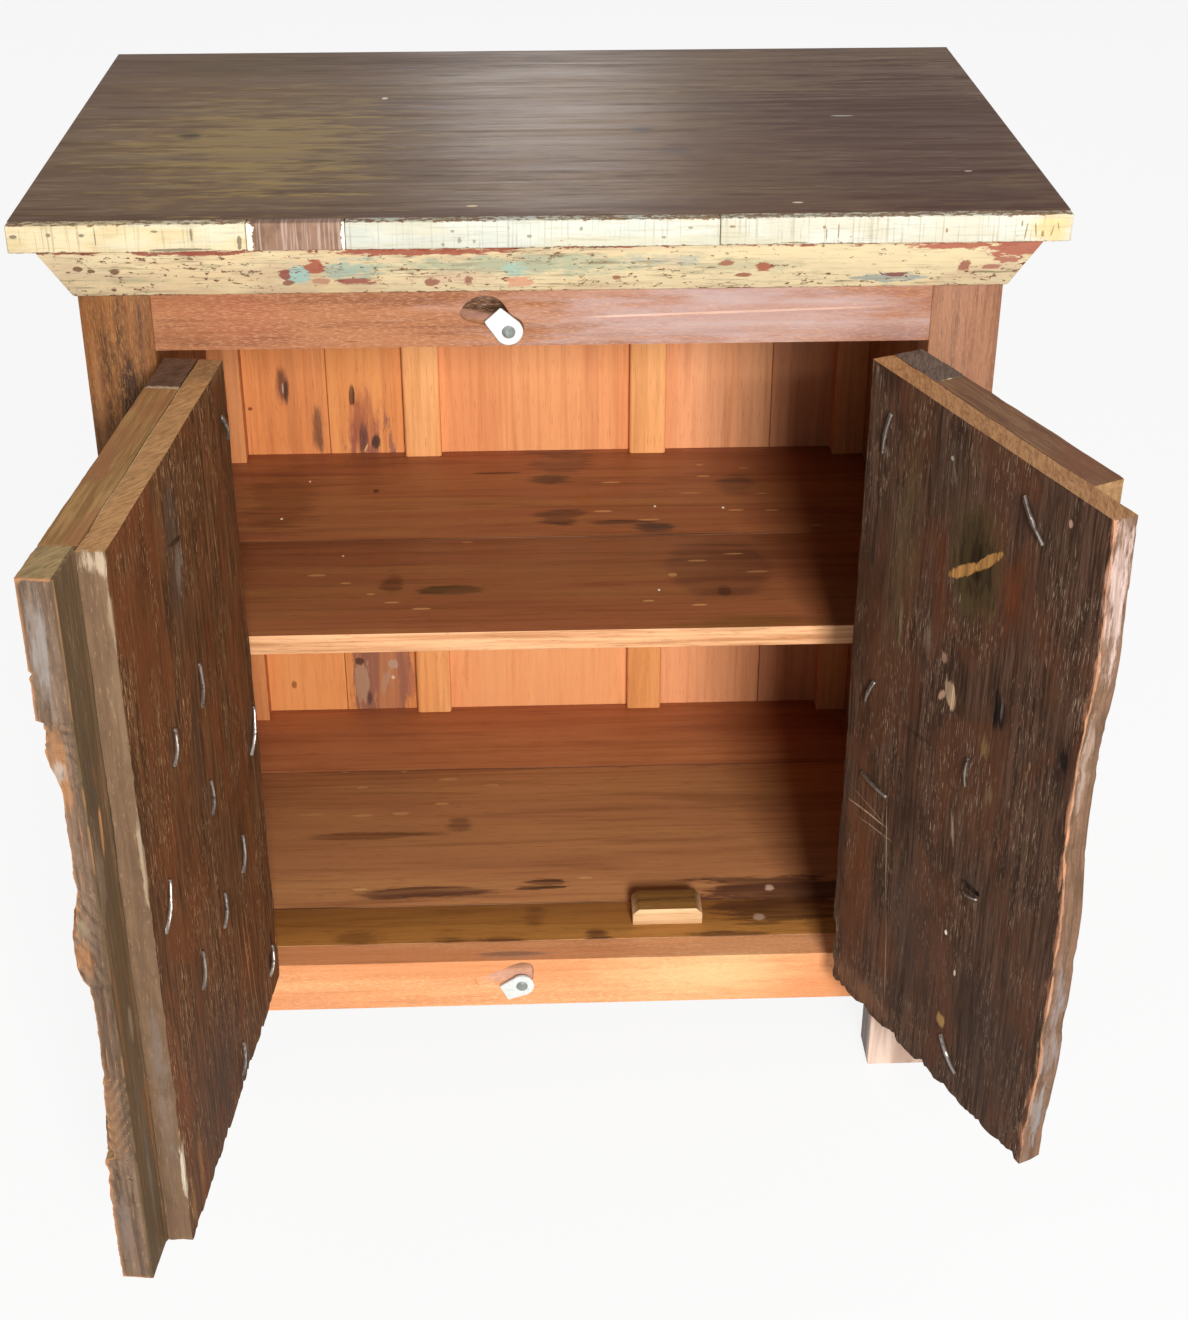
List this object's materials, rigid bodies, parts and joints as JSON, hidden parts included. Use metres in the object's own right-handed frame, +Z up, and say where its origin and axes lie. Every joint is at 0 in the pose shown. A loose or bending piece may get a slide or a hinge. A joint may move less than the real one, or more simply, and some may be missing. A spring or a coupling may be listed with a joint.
{
  "type": "two-door cabinet",
  "caption": "Low free-standing cabinet in reclaimed hardwood, with thick old carved shutters as doors, a shelf, a sloped painted cornice and turn buttons.",
  "frame": {"origin": "on the floor, under the middle of the carcase's footprint; the doors stand open at rest", "axes": "+Z up, -Y out of the front where the doors are, +X to the right seen from the front"},
  "size_m": [0.8884, 0.9253, 0.966],
  "materials": {
    "frame_wood": "waxed red-brown hardwood",
    "orange_wood": "oiled orange-brown hardwood",
    "shelf_wood": "satin brown hardwood with old marks",
    "dark_top": "satin dark brown stain with olive streaks",
    "painted_wood": "worn cream and grey-green paint over red-brown wood",
    "weathered_wood": "rough weathered dark brown, pale fibres",
    "carved_wood": "worn old carved hardwood",
    "iron": "old rubbed iron",
    "button_metal": "pale enamelled metal"
  },
  "bodies": {
    "carcase": {"back_batten_left": "orange_wood", "back_batten_right": "orange_wood", "back_board_1": "orange_wood", "back_board_2": "orange_wood", "back_board_3": "orange_wood", "back_board_4": "orange_wood", "back_board_5": "orange_wood", "button_screws": "iron", "cornice_front": "painted_wood", "cornice_left": "painted_wood", "cornice_right": "painted_wood", "floor_board_front": "shelf_wood", "floor_board_middle": "shelf_wood", "floor_board_rear": "shelf_wood", "front_head": "frame_wood", "front_sill": "frame_wood", "hinge_frame_leaves": "iron", "hinge_frame_screws": "iron", "hinge_pins": "iron", "leg_front_left": "frame_wood", "leg_front_right": "frame_wood", "leg_rear_left": "frame_wood", "leg_rear_right": "frame_wood", "lipping_1": "painted_wood", "lipping_2": "painted_wood", "lipping_3": "painted_wood", "lipping_4": "painted_wood", "rear_head": "frame_wood", "rear_sill": "frame_wood", "shelf_bearers": "shelf_wood", "shelf_board_front": "shelf_wood", "shelf_board_rear": "shelf_wood", "side_head_left": "frame_wood", "side_head_right": "frame_wood", "side_panel_left": "frame_wood", "side_panel_right": "frame_wood", "side_sill_left": "frame_wood", "side_sill_right": "frame_wood", "stop_block": "orange_wood", "top_board": "dark_top", "top_end_strip_left": "dark_top", "top_end_strip_right": "dark_top"},
    "left_door": {"left_door_back_board": "weathered_wood", "left_door_hinge_leaves": "iron", "left_door_hinge_screws": "iron", "left_door_hinge_stile": "carved_wood", "left_door_meeting_stile": "carved_wood", "left_door_nails": "iron", "left_door_panels": "carved_wood", "left_door_rails": "carved_wood"},
    "right_door": {"right_door_back_board": "weathered_wood", "right_door_closing_stiles": "carved_wood", "right_door_hinge_leaves": "iron", "right_door_hinge_screws": "iron", "right_door_hinge_stile": "carved_wood", "right_door_nails": "iron", "right_door_panels": "carved_wood", "right_door_rails": "carved_wood"},
    "top_button": {"turn_button_top": "button_metal"},
    "sill_button": {"turn_button_sill": "button_metal"}
  },
  "joints": [
    {"name": "left_door_hinge", "type": "hinge", "parent": "carcase", "child": "left_door", "pos_m": [-0.338, -0.2655, 0.495], "axis": [0, 0, 1], "range_deg": [-68.5, 96.5]},
    {"name": "right_door_hinge", "type": "hinge", "parent": "carcase", "child": "right_door", "pos_m": [0.338, -0.2655, 0.495], "axis": [0, 0, 1], "range_deg": [-115, 50]},
    {"name": "top_button_turn", "type": "hinge", "parent": "carcase", "child": "top_button", "pos_m": [-0.03119, -0.2595, 0.8515], "axis": [0, -1, 0], "range_deg": [-42, 138]},
    {"name": "sill_button_turn", "type": "hinge", "parent": "carcase", "child": "sill_button", "pos_m": [-0.03119, -0.2595, 0.122], "axis": [0, -1, 0], "range_deg": [-116, 64]}
  ]
}
